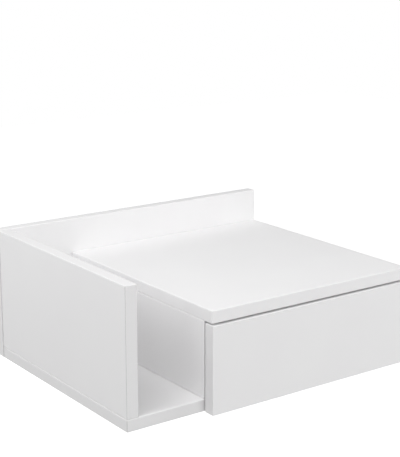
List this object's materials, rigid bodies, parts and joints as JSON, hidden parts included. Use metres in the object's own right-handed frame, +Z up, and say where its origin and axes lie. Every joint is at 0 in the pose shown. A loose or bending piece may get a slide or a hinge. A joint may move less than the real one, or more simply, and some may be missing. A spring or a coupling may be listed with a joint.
{
  "type": "floating nightstand",
  "caption": "Wall-hung white nightstand: open book slot at the left, handleless drawer on ball slides under an overhanging top, full back panel.",
  "frame": {"origin": "on the wall plane, the back panel's rear face, at mid-width and level with the two wall screws, 140 mm above the underside", "axes": "+X to the right seen from the front, +Y into the wall, +Z up"},
  "size_m": [0.4, 0.32, 0.165],
  "materials": {
    "white_board": "white foil-wrapped fibreboard, fine satin grain",
    "white_drawer_board": "white melamine drawer board, satin",
    "zinc_steel": "bright zinc-plated steel",
    "zinc_casting": "tumbled zinc die casting",
    "grey_nylon": "moulded grey nylon",
    "white_nylon": "moulded white nylon"
  },
  "bodies": {
    "carcass": {"back_panel": "white_board", "bottom_panel": "white_board", "left_side_panel": "white_board", "divider_panel": "white_board", "right_side_panel": "white_board", "top_panel": "white_board", "left_side_front_screw": "zinc_steel", "left_side_rear_screw": "zinc_steel", "divider_front_screw": "zinc_steel", "divider_rear_screw": "zinc_steel", "right_side_front_screw": "zinc_steel", "right_side_rear_screw": "zinc_steel", "back_to_side_screw": "zinc_steel", "back_to_bottom_left_screw": "zinc_steel", "back_to_bottom_right_screw": "zinc_steel", "back_to_top_left_screw": "zinc_steel", "back_to_top_right_screw": "zinc_steel", "top_left_cam_bolt": "zinc_steel", "top_left_cam_lock": "zinc_casting", "top_right_cam_bolt": "zinc_steel", "top_right_cam_lock": "zinc_casting", "hanger_plate_left": "zinc_steel", "hanger_left_upper_screw": "zinc_steel", "hanger_left_lower_screw": "zinc_steel", "hanger_plate_right": "zinc_steel", "hanger_right_upper_screw": "zinc_steel", "hanger_right_lower_screw": "zinc_steel", "slide_outer_left": "zinc_steel", "slide_outer_left_front_screw": "zinc_steel", "slide_outer_left_rear_screw": "zinc_steel", "slide_outer_right": "zinc_steel", "slide_outer_right_front_screw": "zinc_steel", "slide_outer_right_rear_screw": "zinc_steel", "latch_housing": "grey_nylon", "latch_upper_screw": "zinc_steel", "latch_lower_screw": "zinc_steel"},
    "drawer": {"drawer_front": "white_board", "drawer_side_left": "white_drawer_board", "drawer_side_right": "white_drawer_board", "drawer_back": "white_drawer_board", "drawer_bottom": "white_drawer_board", "slide_inner_left": "zinc_steel", "slide_inner_left_front_screw": "zinc_steel", "slide_inner_left_rear_screw": "zinc_steel", "slide_inner_right": "zinc_steel", "slide_inner_right_front_screw": "zinc_steel", "slide_inner_right_rear_screw": "zinc_steel", "drawer_left_cam_bolt": "zinc_steel", "drawer_left_cam_lock": "zinc_casting", "drawer_right_cam_bolt": "zinc_steel", "drawer_right_cam_lock": "zinc_casting", "drawer_back_left_upper_screw": "zinc_steel", "drawer_back_left_lower_screw": "zinc_steel", "drawer_back_right_upper_screw": "zinc_steel", "drawer_back_right_lower_screw": "zinc_steel", "drawer_bottom_screw": "zinc_steel", "latch_strike_plate": "zinc_steel"},
    "cage_left": {"slide_cage_left": "zinc_steel"},
    "cage_right": {"slide_cage_right": "zinc_steel"},
    "plunger": {"latch_plunger": "white_nylon"}
  },
  "joints": [
    {"name": "drawer_slide", "type": "slide", "parent": "carcass", "child": "drawer", "axis": [0, -1, 0], "range_m": [0, 0.1875]},
    {"name": "cage_left_slide", "type": "slide", "parent": "carcass", "child": "cage_left", "axis": [0, -1, 0], "range_m": [0, 0.09375]},
    {"name": "cage_right_slide", "type": "slide", "parent": "carcass", "child": "cage_right", "axis": [0, -1, 0], "range_m": [0, 0.09375]},
    {"name": "latch_press", "type": "slide", "parent": "carcass", "child": "plunger", "axis": [0, 1, 0], "range_m": [0, 0.002], "stiffness_N_per_m": 300, "springref_m": -0.01}
  ],
  "couplings": [
    {"joint": "cage_left_slide", "follows": "drawer_slide", "ratio": 0.5},
    {"joint": "cage_right_slide", "follows": "drawer_slide", "ratio": 0.5}
  ]
}
